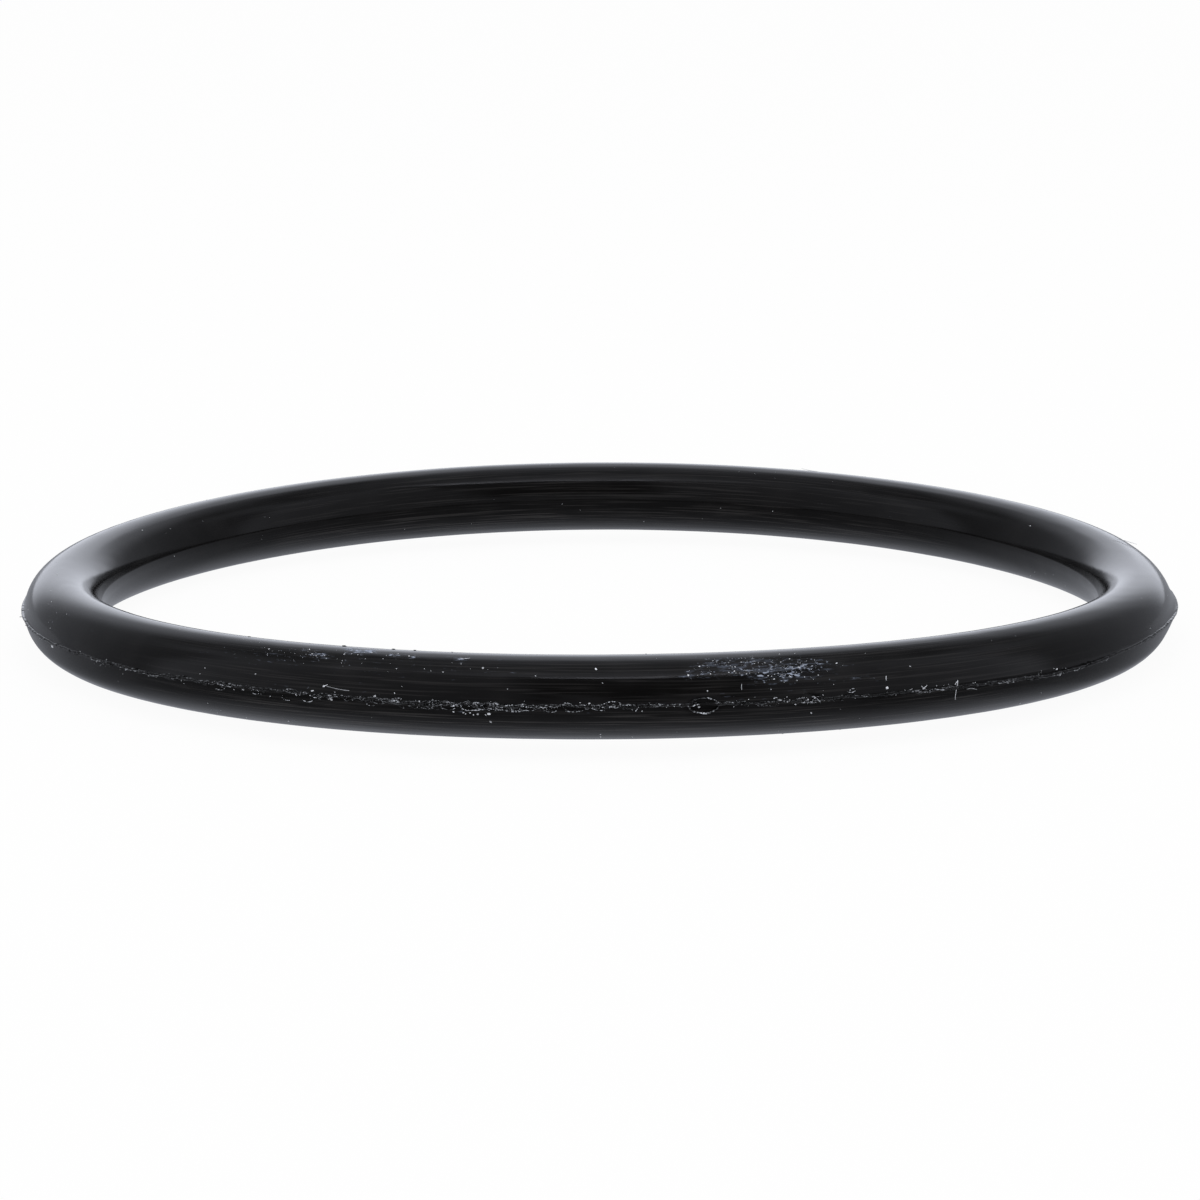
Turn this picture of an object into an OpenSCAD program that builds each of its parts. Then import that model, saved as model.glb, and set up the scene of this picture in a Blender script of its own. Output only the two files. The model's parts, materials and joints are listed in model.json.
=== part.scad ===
// Moulded rubber o-ring that lies flat, as a seal for a shaft, a spigot or a face groove.
// The origin is the centre of the ring on the mould's parting plane, and +Z is the ring's axis.
// The section is a full round revolved about the axis. The two mould halves met half way up it,
// and left a flash there: a low flared ridge, a torn sheet that stands out of it, curled scraps,
// a thick fin on one side and a small burst blister at the front.

/* [Ring] */
// Inside diameter, between the section's inner crests
inside_d = 23.52; // [12:0.01:60]
// Diameter of the round section
section_d = 1.78; // [1.2:0.01:5]

/* [Parting line] */
// Height of the flared root of the outer ridge, measured along the axis
ridge_root = 0.42; // [0.2:0.01:0.6]
// Height of the ridge's blunt outer edge, measured along the axis
ridge_edge = 0.16; // [0.1:0.01:0.18]
// How far the outer ridge stands out of the section
ridge_reach = 0.05; // [0.02:0.01:0.1]
// How far the trimmed inner ridge stands into the hole
inner_reach = 0.02; // [0.01:0.005:0.05]
// Height of the inner ridge, measured along the axis
inner_edge = 0.12; // [0.06:0.01:0.2]

/* [Torn flash] */
// Thickness of the torn sheet
sheet_t = 0.08; // [0.04:0.01:0.09]
// The furthest that the torn sheet stands out of the section
sheet_reach = 0.13; // [0.11:0.01:0.3]
// Number of curled scraps round the ring
scrap_count = 40; // [4:1:60]
// Thickness of a scrap
scrap_t = 0.06; // [0.03:0.01:0.09]
// The furthest that a scrap stands out of the section
scrap_reach = 0.17; // [0.11:0.01:0.3]
// The furthest that a scrap's tip leans up or down from its root
scrap_lean = 0.12; // [0:0.01:0.2]

/* [Fin] */
// Direction of the fin's middle, in degrees from +X
fin_angle = -4; // [-180:1:180]
// How far the fin stands out of the section at its middle
fin_reach = 0.2; // [0.12:0.01:0.3]
// Thickness of the fin
fin_t = 0.2; // [0.19:0.01:0.3]
// Length of the fin along the ring
fin_length = 9; // [4:0.5:12]

/* [Blister] */
// Direction of the burst blister's middle, in degrees from +X
blister_angle = -80.7; // [-180:0.1:180]
// Width of the blister along the ring
blister_w = 0.6; // [0.4:0.05:1]
// Height of the blister over its lips, measured along the axis
blister_h = 0.3; // [0.24:0.02:0.36]
// How far the blister's lips stand out of the section
blister_reach = 0.12; // [0.08:0.01:0.2]

/* [Hidden] */
// Radii of the ring: to the section's centre, its outer crest and its inner crest
pitch_r = (inside_d + section_d) / 2;
outer_r = pitch_r + section_d / 2;
inner_r = pitch_r - section_d / 2;
// Facets of a full turn, and the step between two points of the torn edge
turn_facets = 240;
edge_points = 480;
// Radius at which the torn sheet is trimmed flush, just under the ridge's edge
flush_r = outer_r + ridge_reach / 2;
// Widest share of its pitch that a scrap fills, so that two scraps never meet
scrap_fill = 0.7;
// Width of the blister's lower lip, as a share of the upper one's
lower_lip = 0.85;

// Radius of the section's outer wall at height z
function wall_r(z) = pitch_r + sqrt(pow(section_d / 2, 2) - z * z);

// Repeatable value from 0 to 1 for the number i, different for each salt
function scatter(i, salt) = let (x = sin(i * 127.1 + salt * 311.7) * 43.758) x - floor(x);

// How far the sheet survived the tearing at direction a: 0 is flush, 1 is full reach
function survived(a) =
    let (wave = sin(5 * a + 20) + 0.8 * sin(13 * a + 75) + 0.7 * sin(29 * a + 10) + 0.8 * sin(61 * a + 130))
    min(1, max(0, (wave + 0.6) / 2.6));

// Radius of the torn sheet's edge at direction a
function torn_r(a) = flush_r + (outer_r + sheet_reach - flush_r) * survived(a);

// The full round section, in the plane of radius and height
module section() {
    translate([pitch_r, 0])
        circle(d = section_d, $fn = 72);
}

// Section of the outer ridge: a flared root on the wall that narrows to a blunt edge
module ridge_section() {
    polygon([
        [pitch_r, -ridge_root / 2],
        [wall_r(ridge_root / 2), -ridge_root / 2],
        [outer_r + ridge_reach, -ridge_edge / 2],
        [outer_r + ridge_reach, ridge_edge / 2],
        [wall_r(ridge_root / 2), ridge_root / 2],
        [pitch_r, ridge_root / 2]
    ]);
}

// Section of the inner ridge, which the deflashing left as a narrow land
module inner_ridge_section() {
    translate([inner_r - inner_reach, -inner_edge / 2])
        square([section_d / 2, inner_edge]);
}

// Sheet of flash from inside the section to an edge that was torn to an uneven outline
module torn_sheet() {
    linear_extrude(height = sheet_t, center = true)
        difference() {
            polygon([for (i = [0 : edge_points - 1]) let (a = 360 * i / edge_points) torn_r(a) * [cos(a), sin(a)]]);
            circle(r = pitch_r, $fn = turn_facets);
        }
}

// One scrap: a thin tongue that leans up or down from its root in the ridge
module scrap(start, sweep, reach, lean) {
    rotate([0, 0, start])
        rotate_extrude(angle = sweep, $fn = turn_facets)
            polygon([
                [pitch_r, -scrap_t / 2],
                [outer_r, -scrap_t / 2],
                [outer_r + reach, lean - scrap_t / 2],
                [outer_r + reach, lean + scrap_t / 2],
                [outer_r, scrap_t / 2],
                [pitch_r, scrap_t / 2]
            ]);
}

// Scraps round the ring, each of its own length, reach and lean
module scraps() {
    pitch = 360 / scrap_count;
    for (i = [0 : scrap_count - 1]) {
        sweep = pitch * scrap_fill * (0.2 + 0.8 * scatter(i, 1));
        start = pitch * (i + (1 - scrap_fill) * scatter(i, 2));
        lean = scrap_lean * (2 * scatter(i, 3) - 1);
        scrap(start, sweep, scrap_reach * (0.6 + 0.4 * scatter(i, 4)), lean);
    }
}

// Thick crescent of flash, where the mould halves stood open: an eccentric disc that runs out on the outer crest
module fin() {
    // Half the fin's length, and the height of its edge's arc over that length
    half = fin_length / 2;
    rise = fin_reach + outer_r - sqrt(outer_r * outer_r - half * half);
    edge_r = (half * half + rise * rise) / (2 * rise);
    rotate([0, 0, fin_angle])
        intersection() {
            translate([outer_r + fin_reach - edge_r, 0, -fin_t / 2])
                cylinder(r = edge_r, h = fin_t, $fn = turn_facets);
            translate([pitch_r, -fin_length, -section_d / 2])
                cube([section_d, 2 * fin_length, section_d]);
        }
}

// Blister that burst in the mould: two curved lips of the flash stand apart over its hollow
module blister() {
    sweep = blister_w / outer_r * 180 / PI;
    lean = (blister_h - scrap_t) / 2;
    scrap(blister_angle - sweep / 2, sweep, blister_reach, lean);
    scrap(blister_angle - sweep * lower_lip / 2, sweep * lower_lip, blister_reach, -lean);
}

// Round section and its two ridges, turned about the axis
module ring_body() {
    rotate_extrude($fn = turn_facets)
        union() {
            section();
            ridge_section();
            inner_ridge_section();
        }
}

module o_ring() {
    color([0.09, 0.09, 0.1])
        union() {
            ring_body();
            torn_sheet();
            scraps();
            fin();
            blister();
        }
}

o_ring();
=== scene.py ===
"""Moulded rubber o-ring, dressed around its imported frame.

The ring lies flat. Its axis is Z, and the photograph looks along +Y from a little above.
Places on the rubber are given by two angles. The azimuth turns about the ring's axis, from +X
towards +Y, so that the front is at -90 degrees. The lift turns about the middle of the round
section, from the outer crest (0) over the top (90) to the inner crest (180).
"""

import json
import math

import bpy
import numpy as np
from bpy.props import FloatProperty, FloatVectorProperty, IntProperty, PointerProperty
from mathutils import Matrix, Vector


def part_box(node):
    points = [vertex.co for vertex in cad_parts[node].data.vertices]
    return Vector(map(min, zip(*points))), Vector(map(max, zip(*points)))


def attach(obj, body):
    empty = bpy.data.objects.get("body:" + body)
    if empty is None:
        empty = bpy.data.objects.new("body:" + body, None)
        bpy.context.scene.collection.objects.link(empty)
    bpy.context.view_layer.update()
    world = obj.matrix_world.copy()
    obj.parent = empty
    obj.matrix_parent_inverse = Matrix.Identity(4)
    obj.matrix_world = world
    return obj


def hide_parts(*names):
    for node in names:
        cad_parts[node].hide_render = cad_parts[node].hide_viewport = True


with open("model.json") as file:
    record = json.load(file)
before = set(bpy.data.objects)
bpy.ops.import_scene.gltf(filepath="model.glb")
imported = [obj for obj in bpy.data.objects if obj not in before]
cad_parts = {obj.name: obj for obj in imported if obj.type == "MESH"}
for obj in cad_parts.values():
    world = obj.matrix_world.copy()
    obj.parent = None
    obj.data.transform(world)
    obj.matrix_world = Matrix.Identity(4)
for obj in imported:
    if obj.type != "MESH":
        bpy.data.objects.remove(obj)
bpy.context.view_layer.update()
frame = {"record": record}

bl_info = {
    "name": "Rubber O-Ring",
    "version": (1, 0, 0),
    "blender": (4, 5, 0),
    "location": "View3D > Sidebar > O-Ring",
    "description": "Moulded rubber o-ring with its parting-line flash, dust and fibres",
    "category": "Add Mesh",
}

MM = 0.001
NODE = "o_ring"
BODY = "root"
NODE_LOW, NODE_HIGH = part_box(NODE)
MOUNTS = {m["name"]: m for m in frame["record"]["mounts"]}
SECTION_R = (NODE_HIGH[2] - NODE_LOW[2]) / 2
OUTER_R = MOUNTS["outside_diameter"]["dims"]["r_mm"] * MM
PITCH_R = OUTER_R - SECTION_R


def length(name, description, default, **limits):
    """A size in metres, for the sidebar."""
    limits.setdefault("min", 0.0)
    limits.update(precision=6, unit="LENGTH", subtype="DISTANCE")
    return FloatProperty(name=name, description=description, default=default, **limits)


def angle(name, description, degrees):
    """An angle, given in degrees and held in radians."""
    return FloatProperty(
        name=name, description=description, default=math.radians(degrees), unit="ROTATION", subtype="ANGLE"
    )


def colour(name, description, default):
    """A linear colour, for the sidebar."""
    return FloatVectorProperty(
        name=name, description=description, default=default, size=3, min=0.0, max=1.0, subtype="COLOR"
    )


def factor(name, description, default, top=1.0):
    """A plain number from 0 to top."""
    return FloatProperty(name=name, description=description, default=default, min=0.0, max=top)


def count(name, description, default):
    """A whole number of copies."""
    return IntProperty(name=name, description=description, default=default, min=0, max=20000)


class ORING_PG_ring(bpy.types.PropertyGroup):
    """Sizes of the ring and of the ridge that the mould's parting line left on it."""

    pitch_r: length("Centreline radius", "Radius of the circle through the middle of the section", PITCH_R)
    section_r: length("Section radius", "Radius of the round section", SECTION_R)
    saddle: length("Saddle", "How far the front and back lift above the ends, halved", 0.0103 * PITCH_R)
    ridge_reach: length("Ridge reach", "How far the parting line's ridge stands out", 0.040 * MM)
    ridge_height: length("Ridge height", "Half the height of the ridge's flared root", 0.13 * MM)
    inner_reach: length("Inner ridge reach", "How far the inner parting line stands out", 0.015 * MM)
    fin_reach: length("Fin reach", "How far the thick fin stands out at its middle", 0.11 * MM)
    fin_azimuth: angle("Fin azimuth", "Direction of the fin's middle", -4.0)
    fin_span: angle("Fin span", "Half the angle over which the fin fades out", 9.0)
    blister_azimuth: angle("Blister azimuth", "Direction of the burst blister", -80.9)
    blister_level: length("Blister level", "Height of the blister's middle", -0.02 * MM, min=-1.0)
    blister_width: length("Blister width", "Width of the blister along the ring", 0.64 * MM)
    blister_height: length("Blister height", "Height of the blister", 0.29 * MM)
    flat_side: length("Flat side", "How far the outer wall lies in at the fin's end of the ring", 0.09 * MM)
    dent: length("Dent", "Depth of the hollow in the blister", 0.03 * MM)
    around: count("Steps along the ring", "Mesh steps round the ring", 1140)
    across: count("Steps round the section", "Mesh steps round the section", 84)


class ORING_PG_flash(bpy.types.PropertyGroup):
    """Sizes of the torn flash on the outer parting line."""

    lip_reach: length("Lip reach", "How far the torn lip stands out of the section at most", 0.12 * MM)
    lip_height: length("Lip height", "Thickness of the torn lip", 0.14 * MM)
    lip_steps: count("Steps along the lip", "Mesh steps round the ring", 5200)
    scraps: count("Scraps", "Curled scraps of flash round the ring", 300)
    scrap_length: length("Scrap length", "Longest scrap, measured along the ring", 0.4 * MM)
    scrap_reach: length("Scrap reach", "Longest scrap, measured outwards", 0.14 * MM)
    threads: count("Threads", "Thin torn threads round the ring", 600)
    thread_length: length("Thread length", "Longest thread, measured along the ring", 0.44 * MM)
    thread_bow: length("Thread bow", "How far a thread rises or hangs at most", 0.13 * MM)
    thread_width: length("Thread width", "Thickness of a thread", 0.017 * MM)
    seed: count("Seed", "Start of the random draws", 11)


class ORING_PG_dirt(bpy.types.PropertyGroup):
    """Sizes and counts of the dust and the fibres."""

    speck_size: length("Speck size", "Width of a middling speck of dust", 0.030 * MM)
    crumbs: count("Crumbs", "Pale crumbs on the parting line", 420)
    loose_specks: count("Loose specks", "Specks strewn all over the ring", 480)
    fibre_width: length("Fibre width", "Thickness of a fibre", 0.014 * MM)
    seed: count("Seed", "Start of the random draws", 5)


class ORING_PG_finish(bpy.types.PropertyGroup):
    """Colours and gloss of the rubber and the dust."""

    rubber: colour("Rubber", "Colour of clean rubber", (0.0046, 0.0044, 0.0045))
    bloom: colour("Bloom", "Colour of the dusty film on the rubber", (0.0165, 0.0158, 0.0160))
    smear: colour("Smear", "Colour of the wiped dust", (0.064, 0.074, 0.098))
    fleck: colour("Flecks", "Colour of the thin dust that sticks to the rubber", (0.40, 0.45, 0.57))
    dust: colour("Dust", "Colour of the specks", (0.84, 0.87, 0.94))
    # Besides the torn rubber's whitening, this colour paints highlights on the lip's top edge and on the
    # blister's rim.
    frayed_and_highlit: colour("Frayed rubber", "Colour of the flash where it was torn", (0.82, 0.86, 0.95))
    sheen: colour("Sheen", "Tint of the rubber's reflection seen straight on", (0.158, 0.154, 0.154))
    roughness: factor("Roughness", "Roughness of clean rubber", 0.11)


class ORING_PG_stage(bpy.types.PropertyGroup):
    """The camera, the lamps and the floor."""

    distance: length("Camera distance", "From the camera to the ring's centre", 8.5 * PITCH_R)
    elevation: angle("Camera elevation", "How far the camera looks down", 10.77)
    roll: angle("Camera roll", "Turn of the picture", -0.23)
    focal: FloatProperty(name="Focal length", description="Millimetres, on a 36 mm sensor", default=136.1)
    shift: FloatProperty(name="Shift", description="Lens shift, as a share of the picture", default=-0.0081)
    floor_size: length("Floor size", "Side of the floor", 1.6)
    floor_white: factor("White floor", "Share of the floor that shows to the eye as plain white", 0.95)
    floor_below: factor("Floor below", "How much brighter the rubber mirrors it from right above", 0.25, 2.0)
    floor_aside: factor("Floor aside", "How bright the rubber mirrors it at a flat slant", 0.22, 2.0)
    cool: colour("Cool white", "Tint of the surroundings in reflections", (0.87, 0.905, 1.0))
    gap: factor("Corner gaps", "How dark the back corners are in reflections", 0.71)
    hood: factor("Hood", "How dark the hood in front is in reflections", 0.80)
    dome: factor("Dome", "How dark the room over the back sheet is in reflections", 0.40)
    panel: factor("Panel", "How much the ceiling panel's front edge adds in reflections", 1.7, 4.0)
    tube: factor("Tube", "How much the lit edge over the hood adds in reflections", 10.0, 20.0)
    fill: factor("Fill", "Strength of the light from all around", 0.75, 2.0)
    key: FloatProperty(name="Key", description="Power of the soft lamp above, in watts", default=0.06)


GROUPS = {
    "oring_ring": ORING_PG_ring,
    "oring_flash": ORING_PG_flash,
    "oring_dirt": ORING_PG_dirt,
    "oring_finish": ORING_PG_finish,
    "oring_stage": ORING_PG_stage,
}


def ring_point(azimuth, radius, height):
    """Point at an azimuth, at a radius from the ring's axis and at a height."""
    return np.stack([radius * np.cos(azimuth), radius * np.sin(azimuth), height], axis=-1)


def crest_radius(ring):
    """Radius of the outer crest, on which the parting line lies."""
    return ring.pitch_r + ring.section_r


def centre_height(ring, azimuth):
    """Height of the section's middle, a saddle that is nought at both ends of X.

    Height = saddle * (1 - cosine of twice the azimuth).
    """
    return ring.saddle * (1.0 - np.cos(2.0 * azimuth))


def section_point(ring, azimuth, lift, out):
    """Point at a lift on the round section at an azimuth, moved outwards along the section's radius by out.

    Radius from the axis = centreline radius + (section radius + out) * cos(lift);
    height = saddle height + (section radius + out) * sin(lift).
    """
    reach = ring.section_r + out
    radius = ring.pitch_r + reach * np.cos(lift)
    return ring_point(azimuth, radius, centre_height(ring, azimuth) + reach * np.sin(lift))


def outward(azimuth, lift):
    """Unit vector out of the section at an azimuth and a lift."""
    return ring_point(azimuth, np.cos(lift), np.sin(lift) + 0.0 * azimuth)


def wrapped(difference):
    """Angle differences folded into minus half a turn to half a turn."""
    return (difference + math.pi) % (2.0 * math.pi) - math.pi


def wobble(rng, places, knots):
    """Smooth random values from -1 to 1 along a closed line.

    places run from 0 to 1. Random values at evenly spaced knots are joined by a cosine blend.
    """
    values = rng.uniform(-1.0, 1.0, knots)
    spot = (places % 1.0) * knots
    left = np.floor(spot).astype(int) % knots
    blend = 0.5 - 0.5 * np.cos(np.pi * (spot - np.floor(spot)))
    return values[left] * (1.0 - blend) + values[(left + 1) % knots] * blend


def grid_faces(rows, columns):
    """Corner numbers of the quads on a grid of rows by columns that is closed both ways."""
    r, c = np.meshgrid(np.arange(rows), np.arange(columns), indexing="ij")
    here = r * columns
    there = (r + 1) % rows * columns
    after = (c + 1) % columns
    return np.stack([here + c, there + c, there + after, here + after], -1).reshape(-1, 4)


def tube_faces(many, rings, sides):
    """Corner numbers of the quads on many tubes, each closed by a strip of quads at both ends."""
    here, c = np.meshgrid(sides * np.arange(rings - 1), np.arange(sides), indexing="ij")
    there = here + sides
    after = (c + 1) % sides
    wall = np.stack([here + c, there + c, there + after, here + after], -1).reshape(-1, 4)
    k = np.arange(sides // 2 - 1)
    cap = np.stack([k, k + 1, sides - 2 - k, sides - 1 - k], -1)
    one = np.concatenate([wall, cap, cap[:, ::-1] + (rings - 1) * sides])
    first = rings * sides * np.arange(many)
    return (one[None] + first[:, None, None]).reshape(-1, 4)


def tube_points(paths, lean, radius, sides):
    """Points of tubes of a radius round paths. lean is a direction that runs nowhere along the path.

    Point = path + radius * (cosine of the turn * side + sine of the turn * lift), where side is square to
    the path and to lean, and lift is square to the path and to side.
    """
    along = np.gradient(paths, axis=1)
    along /= np.linalg.norm(along, axis=-1, keepdims=True)
    side = np.cross(along, lean)
    side /= np.linalg.norm(side, axis=-1, keepdims=True)
    lift = np.cross(side, along)
    turn = (2.0 * math.pi * np.arange(sides) / sides)[None, None, :, None]
    ring = np.cos(turn) * side[:, :, None] + np.sin(turn) * lift[:, :, None]
    return paths[:, :, None] + radius[:, :, None, None] * ring


def new_mesh_object(name, points, faces, smooth=True):
    """Makes a mesh object at the origin from an array of points and an array of equal-sided faces."""
    mesh = bpy.data.meshes.new(name)
    sides = faces.shape[1]
    mesh.vertices.add(len(points))
    mesh.vertices.foreach_set("co", np.ascontiguousarray(points, dtype=np.float32).ravel())
    mesh.loops.add(faces.size)
    mesh.loops.foreach_set("vertex_index", np.ascontiguousarray(faces, dtype=np.int32).ravel())
    mesh.polygons.add(len(faces))
    mesh.polygons.foreach_set("loop_start", np.arange(0, faces.size, sides, dtype=np.int32))
    mesh.polygons.foreach_set("use_smooth", np.full(len(faces), smooth, dtype=bool))
    mesh.update(calc_edges=True)
    mesh.validate()
    piece = bpy.data.objects.new(name, mesh)
    bpy.context.scene.collection.objects.link(piece)
    return piece


def put_attribute(piece, name, *parts):
    """Stores one vector for each vertex, from its three parts, under a name that the materials read."""
    values = np.stack([np.ravel(part) for part in np.broadcast_arrays(*parts)], axis=-1)
    layer = piece.data.attributes.new(name, "FLOAT_VECTOR", "POINT")
    layer.data.foreach_set("vector", np.ascontiguousarray(values, dtype=np.float32).ravel())


def finish_piece(piece, material, stands_for_node=True):
    """Gives a piece its material and slot, and carries it on the ring's body."""
    piece.data.materials.append(material)
    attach(piece, BODY)
    if stands_for_node:
        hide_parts(NODE)


class Shader:
    """Small helper that adds and joins nodes in one material or world."""

    def __init__(self, tree):
        self.tree = tree
        tree.nodes.clear()

    def node(self, kind, **settings):
        """Adds a node and sets its plain settings."""
        made = self.tree.nodes.new(kind)
        for key, value in settings.items():
            setattr(made, key, value)
        return made

    def join(self, source, target):
        """Joins an output socket to an input socket."""
        self.tree.links.new(source, target)

    def put(self, value, socket):
        """Joins a socket, or sets a plain value."""
        if isinstance(value, bpy.types.NodeSocket):
            self.join(value, socket)
        else:
            socket.default_value = value

    def parts(self, vector):
        """The three parts of a vector."""
        made = self.node("ShaderNodeSeparateXYZ")
        self.join(vector, made.inputs[0])
        return made.outputs

    def attribute(self, name):
        """The three parts of a vector that put_attribute stored."""
        return self.parts(self.node("ShaderNodeAttribute", attribute_name=name).outputs["Vector"])

    def surface(self, shader, kind="ShaderNodeOutputMaterial"):
        """Joins a shader to the tree's output node."""
        self.join(shader.outputs[0], self.node(kind).inputs["Surface"])

    def math(self, operation, first, second=0.0, third=0.0, clamp=False):
        """A Math node on two or three values."""
        made = self.node("ShaderNodeMath", operation=operation, use_clamp=clamp)
        for value, socket in zip((first, second, third), made.inputs):
            self.put(value, socket)
        return made.outputs[0]

    def product(self, first, *others):
        """The product of all the values."""
        for other in others:
            first = self.math("MULTIPLY", first, other)
        return first

    def ramp(self, value, low, high):
        """Rises smoothly from 0 at low to 1 at high."""
        made = self.node("ShaderNodeMapRange", interpolation_type="SMOOTHSTEP")
        self.put(value, made.inputs["Value"])
        made.inputs["From Min"].default_value = low
        made.inputs["From Max"].default_value = high
        return made.outputs["Result"]

    def noise(self, vector, scale, detail, roughness, fourth=None):
        """Noise value from 0 to 1, by three coordinates, or by four where a fourth is given."""
        made = self.node("ShaderNodeTexNoise", noise_dimensions="3D" if fourth is None else "4D")
        self.join(vector, made.inputs["Vector"])
        if fourth is not None:
            self.join(fourth, made.inputs["W"])
        for name, value in (("Scale", scale), ("Detail", detail), ("Roughness", roughness)):
            made.inputs[name].default_value = value
        return made.outputs["Fac"]

    def mix_colour(self, share, first, second):
        """Colour between two colours."""
        made = self.node("ShaderNodeMix", data_type="RGBA")
        self.put(share, made.inputs["Factor"])
        self.put(first, made.inputs["A"])
        self.put(second, made.inputs["B"])
        return made.outputs["Result"]

    def bump(self, height, distance, normal=None):
        """Bump of a height from 0 to 1 over a distance in metres."""
        made = self.node("ShaderNodeBump")
        made.inputs["Strength"].default_value = 1.0
        made.inputs["Distance"].default_value = distance
        self.put(height, made.inputs["Height"])
        if normal is not None:
            self.put(normal, made.inputs["Normal"])
        return made.outputs["Normal"]


WHITE = (1.0, 1.0, 1.0, 1.0)


def opaque(rgb, times=1.0):
    """A colour with full alpha, made so many times as bright."""
    return (*(times * part for part in rgb), 1.0)


def new_material(name):
    """A material with an empty tree, and the helper that fills it."""
    material = bpy.data.materials.new(name)
    material.use_nodes = True
    return material, Shader(material.node_tree)


def skin_noise(sh, fine_round, fine_along, detail, roughness):
    """Noise that follows the ring's skin and meets itself all round.

    The two circles of the ring, round the section and along the ring, are the four coordinates of the noise.
    Each circle's radius sets how fine the noise is that way.
    """
    first, second = (sh.math("MULTIPLY", part, fine_round) for part in sh.attribute("round_section")[:2])
    third, fourth = (sh.math("MULTIPLY", part, fine_along) for part in sh.attribute("along_ring")[:2])
    place = sh.node("ShaderNodeCombineXYZ")
    for part, socket in zip((first, second, third), place.inputs):
        sh.join(part, socket)
    return sh.noise(place.outputs[0], 1.0, detail, roughness, fourth)


# Heights of the bumps in the materials, in metres
LINE_BUMP = 1.5e-6
FLECK_BUMP = 6.0e-6
GRAIN_BUMP = 4.0e-6
# Noise height over which clean rubber is dusty, for flecks and for smears, and how much thick dust lowers it
FLECK_EDGE = 0.80
SMEAR_EDGE = 0.72
EDGE_DROP = 0.19
# How many times as bright the film is in the turning lines below the parting line
LOWER_FILM = 2.2


def dusted(sh, dust, noise, edge, steepness):
    """Rises from 0 to 1 where a noise passes an edge, which thick dust lowers."""
    over = sh.math("SUBTRACT", noise, sh.math("MULTIPLY_ADD", dust, -EDGE_DROP, edge))
    return sh.math("MULTIPLY", over, steepness, clamp=True)


def rubber_material(name, finish):
    """Black moulded rubber: the mould's turning lines, a fine grain, bloom, wiped dust and frayed edges.

    The attribute soil holds the dust, the film and the fraying. The fraying also paints highlights on the
    torn lip's top edge and on the blister's rim. The turning lines are clearest at the front and at the back,
    and die away towards the two ends. Below the parting line the film in them is paler.
    """
    material, sh = new_material(name)
    place = sh.node("ShaderNodeTexCoord").outputs["Object"]
    dust, film, frayed_and_highlit = sh.attribute("soil")
    section_up = sh.attribute("round_section")[1]
    ring_back = sh.attribute("along_ring")[1]

    clear = sh.ramp(sh.math("ABSOLUTE", ring_back), 0.55, 0.92)
    lines = sh.math("MULTIPLY", clear, skin_noise(sh, 19.0, 3.5, 1.0, 0.5))
    streaks = sh.math("MULTIPLY", clear, sh.ramp(skin_noise(sh, 24.0, 5.0, 2.0, 0.6), 0.50, 0.66))
    flecks = dusted(sh, dust, skin_noise(sh, 19.0, 105.0, 2.0, 0.7), FLECK_EDGE, 8.0)
    smear = dusted(sh, dust, skin_noise(sh, 16.0, 45.0, 3.0, 0.65), SMEAR_EDGE, 6.0)
    blotch = sh.ramp(sh.noise(place, 900.0, 3.0, 0.55), 0.4, 0.8)
    grain = sh.noise(place, 26000.0, 3.0, 0.6)
    # The torn share is the whitened torn rubber plus the painted highlights on the lip's top edge and the
    # blister's rim.
    torn = sh.math("MULTIPLY", frayed_and_highlit, sh.ramp(grain, 0.46, 0.60), clamp=True)

    # In the turning lines the film is paler below the parting line, by LOWER_FILM.
    in_lines = sh.mix_colour(
        sh.ramp(section_up, 0.0, -0.4), opaque(finish.bloom), opaque(finish.bloom, LOWER_FILM)
    )
    body = sh.mix_colour(sh.math("MULTIPLY", blotch, film), opaque(finish.rubber), opaque(finish.bloom))
    for share, colour_there in (
        (streaks, in_lines),
        (smear, opaque(finish.smear)),
        (flecks, opaque(finish.fleck)),
        (torn, opaque(finish.frayed_and_highlit)),
    ):
        body = sh.mix_colour(share, body, colour_there)
    rough = finish.roughness
    for share, rougher in ((streaks, 0.06), (blotch, 0.04), (smear, 0.2), (flecks, 0.4), (torn, 0.3)):
        rough = sh.math("MULTIPLY_ADD", share, rougher, rough)

    shader = sh.node("ShaderNodeBsdfPrincipled")
    sh.join(body, shader.inputs["Base Color"])
    sh.join(rough, shader.inputs["Roughness"])
    sh.join(sh.bump(flecks, FLECK_BUMP, sh.bump(lines, LINE_BUMP)), shader.inputs["Normal"])
    shader.inputs["Specular IOR Level"].default_value = 0.5
    shader.inputs["Specular Tint"].default_value = opaque(finish.sheen)
    sh.surface(shader)
    return material


def dust_material(name, finish):
    """Pale mineral dust: uneven grey-blue grains with a rough skin.

    The attribute soil is 1 on a crumb of the black rubber, and in between on a dim fibre.
    """
    material, sh = new_material(name)
    dark = sh.attribute("soil")[0]
    tone = sh.noise(sh.node("ShaderNodeTexCoord").outputs["Object"], 9000.0, 3.0, 0.6)
    pale = sh.mix_colour(sh.ramp(tone, 0.35, 0.6), opaque(finish.dust, 0.5), opaque(finish.dust))
    shader = sh.node("ShaderNodeBsdfPrincipled")
    sh.join(sh.mix_colour(dark, pale, opaque(finish.rubber)), shader.inputs["Base Color"])
    sh.join(sh.math("MULTIPLY_ADD", tone, 0.3, 0.45), shader.inputs["Roughness"])
    sh.join(sh.bump(tone, GRAIN_BUMP), shader.inputs["Normal"])
    sh.surface(shader)
    return material


def shared_material(name, maker, details):
    """The material of that name, made on first use."""
    return bpy.data.materials.get(name) or maker(name, details)


def finish_rubber(piece, context):
    """Finishes a piece that takes part in standing for the ring."""
    finish_piece(piece, shared_material("moulded rubber", rubber_material, context.scene.oring_finish))


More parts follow.
